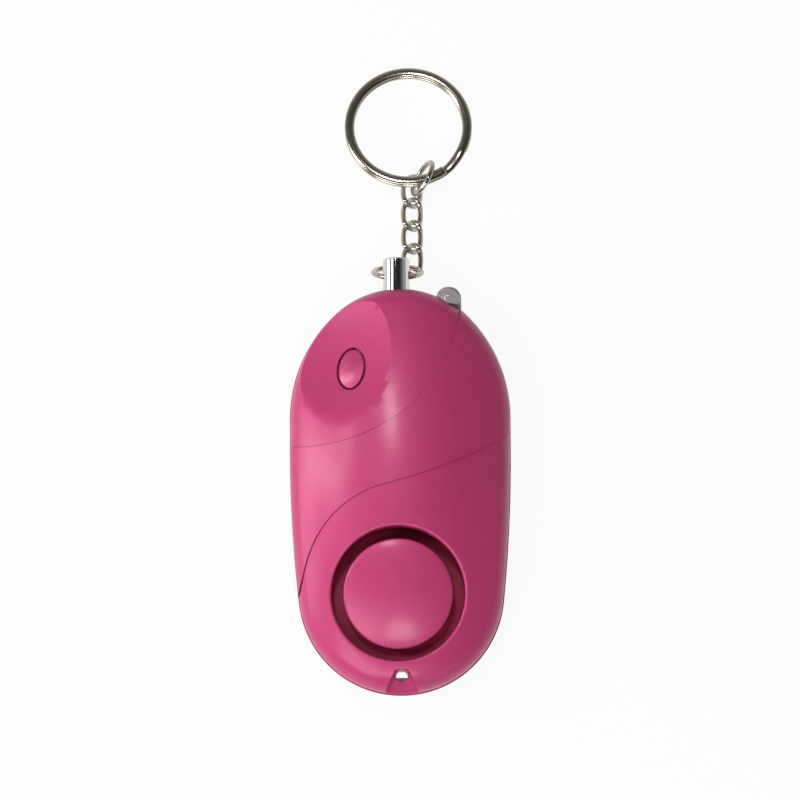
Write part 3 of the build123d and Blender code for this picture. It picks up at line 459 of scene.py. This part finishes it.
@dataclass
class Torch(SubAssembly):
    """The lacquered button, its switch and the clear lamp over its lead frame."""

    finishes: dict[str, Finish] = field(default_factory=lambda: {
        "torch_button": BUTTON, "switch_plunger": BLACK_NYLON, "torch_switch": BLACK_NYLON,
        "lamp_lens": EPOXY, "lamp_leads": TINNED})
    broad_first: tuple[str, ...] = ("lamp_lens",)


@dataclass
class Siren(SubAssembly):
    """The sounder and the circuit that drives it."""

    finishes: dict[str, Finish] = field(default_factory=lambda: {
        "piezo_plate": BRASS, "piezo_ceramic": CERAMIC, "circuit_board": BOARD,
        "coil_core": FERRITE, "coil_winding": COPPER, "capacitor": SLEEVE,
        "sound_chip": EPOXY_BLACK, "transistor": EPOXY_BLACK})


@dataclass
class Battery(SubAssembly):
    """The button cells, their tray and their contacts."""

    finishes: dict[str, Finish] = field(default_factory=lambda: {
        "button_cells": CELL_CAN, "battery_tray": BLACK_NYLON, "positive_terminal": BRASS,
        "negative_terminal": BRASS, "battery_spring": TINNED})


@dataclass
class PullPin(SubAssembly):
    """The chromed pin, its ring and plug, and the socket and contacts that they leave."""

    finishes: dict[str, Finish] = field(default_factory=lambda: {
        "pin_barrel": CHROME, "pin_plug": BLACK_NYLON, "pin_socket": BLACK_NYLON,
        "contact_left": BRASS, "contact_right": BRASS, "pin_ring": NICKEL})
    broad_first: tuple[str, ...] = ("pin_barrel",)


@dataclass
class Chain(SubAssembly):
    """Four twisted links of round wire and the ring that joins them to the key ring."""

    finishes: dict[str, Finish] = field(default_factory=lambda: {"top_ring": NICKEL})
    links: int = 4
    half_length: float = 2.99
    half_width: float = 1.7
    half_twist: float = 1.4
    squareness: float = 0.03
    wire: float = 1.05
    steps_along: int = 96
    steps_round: int = 16

    def build(self) -> list[bpy.types.Object]:
        """Makes the ring and the links."""
        return super().build() + [self.link(f"chain_link_{k + 1}") for k in range(self.links)]

    def link(self, node: str) -> bpy.types.Object:
        """Builds one link: round wire carried along a twisted loop.

        The loop is x = a (cos t - k cos 3t) / (1 - k), y = b (sin t + k sin 3t) / (1 - k) and
        z = c sin 2t, so its two ends lean opposite ways. The wire's circle stands across the loop.

        Args:
            node: the link's CAD node.

        Returns:
            The piece.
        """
        low, high = (np.array(corner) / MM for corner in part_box(node))
        t = np.linspace(0, 2 * np.pi, self.steps_along, endpoint=False)
        k = self.squareness
        loop = np.stack([self.half_width * (np.cos(t) - k * np.cos(3 * t)) / (1 - k),
                         self.half_length * (np.sin(t) + k * np.sin(3 * t)) / (1 - k),
                         self.half_twist * np.sin(2 * t)], -1)
        along = np.roll(loop, -1, 0) - np.roll(loop, 1, 0)
        along /= np.linalg.norm(along, axis=1, keepdims=True)
        side = np.cross(along, (0.0, 0.0, 1.0))
        side /= np.linalg.norm(side, axis=1, keepdims=True)
        rise = np.cross(side, along)
        turn = np.linspace(0, 2 * np.pi, self.steps_round, endpoint=False)[None, :, None]
        circle = np.cos(turn) * side[:, None] + np.sin(turn) * rise[:, None]
        grid = loop[:, None] + self.wire / 2 * circle
        return self.piece(node, surface(node, grid + (low + high) / 2, loop_rows=True), NICKEL)


@dataclass
class KeyRing(SubAssembly):
    """Two close turns of one wire with rounded faces, and the jog where a key is slid on."""

    centre: Point = (2.05, 73.8, 3.4156)
    tilt: float = 11.0
    mean_radius: float = 11.8
    width: float = 1.9
    turn_thickness: float = 0.9
    turn_gap: float = 0.1
    jog_at: float = -52.0
    jog_angle: float = 26.0
    squareness: float = 2.0
    # The angle over which an end is rounded, and the share of it at which its flat cap stands
    end_round: float = 2.0
    end_share: float = 0.04
    step_angle: float = 1.5
    steps_round: int = 24

    def build(self) -> list[bpy.types.Object]:
        """Makes the ring."""
        return [self.coil()]

    def coil(self) -> bpy.types.Object:
        """Builds the coil: a section with rounded faces carried twice round a circle.

        At an angle u the section's middle is at the mean radius and a height that stays at one
        level for a turn, rises over the jog by a smooth step and stays at the other. The section is
        the superellipse |s / a|^n + |q / b|^n = 1, s along the radius and q along the ring's axis,
        drawn in at both ends by sqrt(1 - (1 - d)^2), with d the share of the end's rounding.

        Returns:
            The piece.
        """
        start = self.jog_at + self.jog_angle
        turns = 2 * (360 - self.jog_angle) + self.jog_angle
        u = start + np.linspace(0, turns, int(turns / self.step_angle))
        rise = np.clip((u - (360 + self.jog_at)) / self.jog_angle, 0, 1)
        level = (rise * rise * (3 - 2 * rise) - 0.5) * (self.turn_thickness + self.turn_gap)
        near = np.minimum(u - start, start + turns - u) / self.end_round
        draw = np.sqrt(1 - (1 - np.clip(near, self.end_share, 1)) ** 2)[:, None]
        a = np.linspace(0, 2 * np.pi, self.steps_round, endpoint=False)[None, :]
        power = 2 / self.squareness
        s = self.width / 2 * np.sign(np.cos(a)) * np.abs(np.cos(a)) ** power * draw
        q = self.turn_thickness / 2 * np.sign(np.sin(a)) * np.abs(np.sin(a)) ** power * draw
        angle = np.radians(u)[:, None]
        x = (self.mean_radius + s) * np.cos(angle)
        y = (self.mean_radius + s) * np.sin(angle)
        z = level[:, None] + q
        lean = math.radians(self.tilt)
        grid = np.stack([x, y * math.cos(lean) + z * math.sin(lean),
                         z * math.cos(lean) - y * math.sin(lean)], -1) + np.array(self.centre)
        return self.piece("key_ring", surface("key_ring", grid, capped=True), FLAT_NICKEL)


@dataclass
class Studio:
    """The pale floor, the soft lamps and the camera at the photograph's angle."""

    lean_to_tail: float = 7.5
    roll: float = -0.4
    distance_mm: float = 620.0
    aim_mm: Point = (0.0, 17.9, 9.0)
    millimetres_per_pixel: float = 0.1966
    image_pixels: int = 800
    sensor_mm: float = 36.0
    near_clip_mm: float = 10.0
    far_clip_mm: float = 20000.0
    # What the surround lights the piece with: its level below one height of the sky and above
    # another, where the horizon is 0 and overhead is 1
    pale_below: float = 0.1
    dim_above: float = 0.6
    pale_level: float = 0.07
    dim_level: float = 0.02
    # The same for what gloss and glass show of it, which is brighter
    mirror_below: float = 0.3
    mirror_above: float = 0.9
    mirror_pale: float = 0.4
    mirror_dim: float = 0.03
    floor_reach_mm: float = 3000.0
    floor_drop_mm: float = 0.02
    paper_colour: str = "#F2F2F2"
    # The share of plain white in what the camera sees of the floor; the rest keeps the shadow
    white_share: float = 0.93

    def build(self) -> None:
        """Makes the floor, the world, the lamps and the camera."""
        self.floor()
        self.world()
        self.lamps()
        self.camera()

    def seen(self, tree: bpy.types.NodeTree) -> bpy.types.NodeSocket:
        """Adds the test for a ray from the camera, through glass or off a gloss.

        Args:
            tree: the node tree that takes it.

        Returns:
            A value that is one for such a ray and zero for the light that falls on the piece.
        """
        path = add_node(tree, "ShaderNodeLightPath")
        seen = path.outputs["Is Camera Ray"]
        for ray in ("Is Transmission Ray", "Is Glossy Ray"):
            seen = add_node(tree, "ShaderNodeMath", {0: seen, 1: path.outputs[ray]},
                            operation="MAXIMUM").outputs[0]
        return seen

    def floor(self) -> None:
        """A wide pale floor that looks white to the camera but still takes a faint shadow."""
        mesh = bpy.data.meshes.new("floor")
        reach = self.floor_reach_mm * MM
        corners = [(-reach, -reach, 0), (reach, -reach, 0), (reach, reach, 0), (-reach, reach, 0)]
        mesh.from_pydata(corners, [], [(0, 1, 2, 3)])
        floor = bpy.data.objects.new("floor", mesh)
        bpy.context.scene.collection.objects.link(floor)
        made = bpy.data.materials.new("studio_paper")
        made.use_nodes = True
        tree = made.node_tree
        tree.nodes.clear()
        paper = add_node(tree, "ShaderNodeBsdfDiffuse", {"Color": linear(self.paper_colour)})
        white = add_node(tree, "ShaderNodeEmission", {"Color": WHITE, "Strength": 1.0})
        share = add_node(tree, "ShaderNodeMath", {0: self.seen(tree), 1: self.white_share},
                         operation="MULTIPLY")
        mix = add_node(tree, "ShaderNodeMixShader", {0: share.outputs[0], 1: paper.outputs["BSDF"],
                                                     2: white.outputs["Emission"]})
        add_node(tree, "ShaderNodeOutputMaterial", {"Surface": mix.outputs["Shader"]})
        mesh.materials.append(made)
        floor.location.z = -self.floor_drop_mm * MM

    def world(self) -> None:
        """A surround that is pale at the horizon and dim overhead, as over a light table."""
        world = bpy.data.worlds.new("surround")
        world.use_nodes = True
        tree = world.node_tree
        tree.nodes.clear()
        way = add_node(tree, "ShaderNodeTexCoord").outputs["Generated"]
        height = add_node(tree, "ShaderNodeSeparateXYZ", {"Vector": way}).outputs["Z"]
        lit, mirrored = (add_node(tree, "ShaderNodeMapRange",
                                  {"Value": height, "From Min": low, "From Max": high,
                                   "To Min": pale, "To Max": dim},
                                  interpolation_type="SMOOTHSTEP").outputs["Result"]
                         for low, high, pale, dim in (
                             (self.pale_below, self.dim_above, self.pale_level, self.dim_level),
                             (self.mirror_below, self.mirror_above,
                              self.mirror_pale, self.mirror_dim)))
        level = add_node(tree, "ShaderNodeMix",
                         {"Factor": self.seen(tree), "A": lit, "B": mirrored})
        back = add_node(tree, "ShaderNodeBackground",
                        {"Color": WHITE, "Strength": level.outputs["Result"]})
        add_node(tree, "ShaderNodeOutputWorld", {"Surface": back.outputs["Background"]})
        bpy.context.scene.world = world

    def lamp(self, name: str, place: Point, aim: Point, size: tuple[float, float],
             watts: float) -> None:
        """Adds one soft rectangular lamp.

        Args:
            name: the lamp's name.
            place: its centre in millimetres.
            aim: the point that it faces, in millimetres.
            size: its width and height in millimetres.
            watts: its power.
        """
        data = bpy.data.lights.new(name, "AREA")
        data.shape = "RECTANGLE"
        data.size = size[0] * MM
        data.size_y = size[1] * MM
        data.energy = watts
        light = bpy.data.objects.new(name, data)
        light.location = Vector(place) * MM
        light.rotation_euler = (Vector(aim) - Vector(place)).to_track_quat("-Z", "Y").to_euler()
        bpy.context.scene.collection.objects.link(light)

    def lamps(self) -> None:
        """Three lamps at the left, one by the camera and three beyond the tail.

        The left strip and pane and the near-camera lamp are small, so that each leaves a highlight
        of its own on the lacquer.
        """
        self.lamp("left_low_softbox", place=(-420, 10, 170), aim=(0, 5, 12), size=(260, 180),
                  watts=0.5)
        self.lamp("left_strip", place=(-383, 78, 321), aim=(-15, 1, 14), size=(61, 235),
                  watts=0.48)
        self.lamp("left_pane", place=(-291, 128, 406), aim=(-11, 8, 15), size=(50, 93),
                  watts=0.14)
        self.lamp("near_camera", place=(-70, 228, 640), aim=(0, 10, 15), size=(84, 116),
                  watts=0.84)
        self.lamp("tail_left_softbox", place=(-260, -310, 440), aim=(0, 0, 12), size=(280, 260),
                  watts=1.05)
        self.lamp("tail_high_softbox", place=(12, -350, 524), aim=(0, -20, 12), size=(150, 84),
                  watts=0.62)
        self.lamp("tail_right_softbox", place=(214, -370, 218), aim=(0, -10, 12), size=(240, 220),
                  watts=0.12)

    def camera(self) -> None:
        """A long lens over the front, leant a little towards the tail."""
        data = bpy.data.cameras.new("photo_camera")
        camera = bpy.data.objects.new("photo_camera", data)
        tail = math.radians(self.lean_to_tail)
        away = Vector((0.0, -math.sin(tail), math.cos(tail)))
        aim = Vector(self.aim_mm) * MM
        camera.location = aim + away * self.distance_mm * MM
        level = away.to_track_quat("Z", "Y").to_matrix()
        turn = level @ Matrix.Rotation(math.radians(self.roll), 3, "Z")
        camera.rotation_euler = turn.to_euler()
        data.sensor_fit = "HORIZONTAL"
        data.sensor_width = self.sensor_mm
        width_mm = self.millimetres_per_pixel * self.image_pixels
        data.lens = self.sensor_mm * self.distance_mm / width_mm
        data.clip_start = self.near_clip_mm * MM
        data.clip_end = self.far_clip_mm * MM
        bpy.context.scene.collection.objects.link(camera)
        bpy.context.scene.camera = camera


def main() -> None:
    """Builds each sub-assembly in order and reports its pieces."""
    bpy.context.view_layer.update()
    for group in (Case(), Torch(), Siren(), Battery(), PullPin(), Chain(), KeyRing()):
        for piece in group.build():
            LOG.info("%s: %d faces", piece.name, len(piece.data.polygons))
    Studio().build()
    view = bpy.context.scene.view_settings
    view.view_transform = "Standard"


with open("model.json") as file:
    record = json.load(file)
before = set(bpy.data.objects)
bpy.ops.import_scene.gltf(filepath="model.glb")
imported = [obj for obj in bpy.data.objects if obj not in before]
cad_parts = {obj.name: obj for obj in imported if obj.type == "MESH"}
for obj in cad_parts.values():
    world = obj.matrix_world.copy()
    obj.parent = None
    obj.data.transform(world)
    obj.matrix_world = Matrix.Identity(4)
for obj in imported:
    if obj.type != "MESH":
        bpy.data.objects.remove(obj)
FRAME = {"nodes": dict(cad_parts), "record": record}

if __name__ == "__main__":
    logging.basicConfig(level=logging.INFO, format="%(message)s")
    main()
